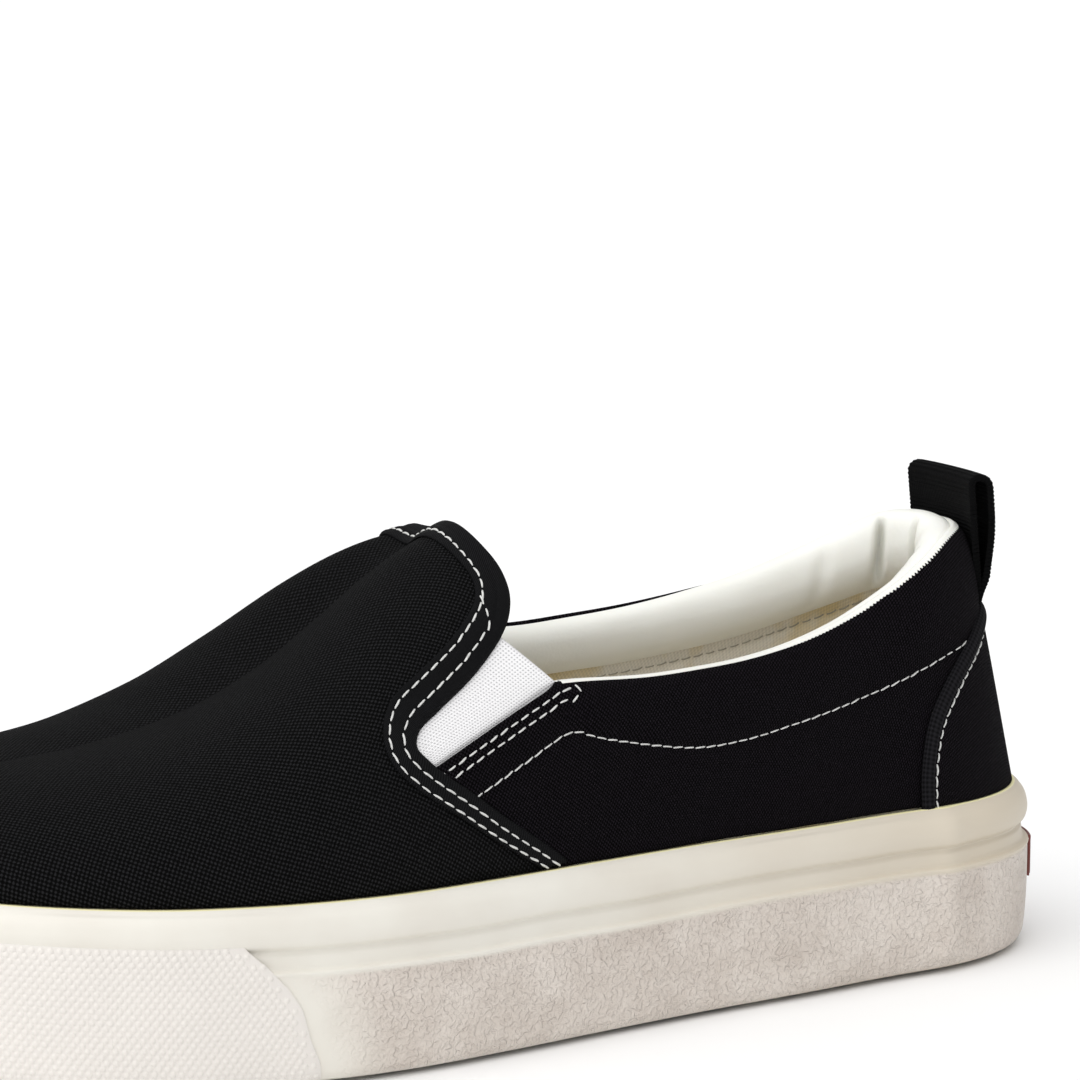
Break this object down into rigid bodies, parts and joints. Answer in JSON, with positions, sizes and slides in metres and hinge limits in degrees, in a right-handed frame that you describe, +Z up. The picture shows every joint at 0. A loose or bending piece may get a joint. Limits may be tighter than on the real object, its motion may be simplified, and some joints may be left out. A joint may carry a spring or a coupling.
{
  "type": "slip-on sneaker",
  "caption": "Low slip-on sneaker with a canvas upper, elastic side gores, a padded collar, a heel pull loop and a thick ribbed rubber sole.",
  "frame": {"origin": "centre of the bounding box's underside, on the floor", "axes": "+X from the heel to the toe, +Y to the wearer's left (the outer side of this left shoe), +Z up"},
  "size_m": [0.2962, 0.1146, 0.105],
  "materials": {
    "outsole_rubber": "matt moulded rubber",
    "sidewall_rubber": "smooth satin rubber",
    "bumper_rubber": "small raised knobs",
    "label_rubber": "plain, smooth",
    "insole_cloth": "plain woven cloth",
    "canvas": "black plain-weave canvas",
    "elastic": "white ribbed elastic",
    "twill": "black smooth twill",
    "lining_leather": "soft padded synthetic leather",
    "webbing": "black ribbed webbing"
  },
  "bodies": {
    "root": {"outsole": "outsole_rubber", "sidewall": "sidewall_rubber", "toe_bumper": "bumper_rubber", "heel_label": "label_rubber", "insole": "insole_cloth", "upper": "canvas", "gore_lateral": "elastic", "gore_medial": "elastic", "vamp_binding": "twill", "heel_counter": "canvas", "collar_lining": "lining_leather", "pull_loop": "webbing"}
  },
  "joints": []
}
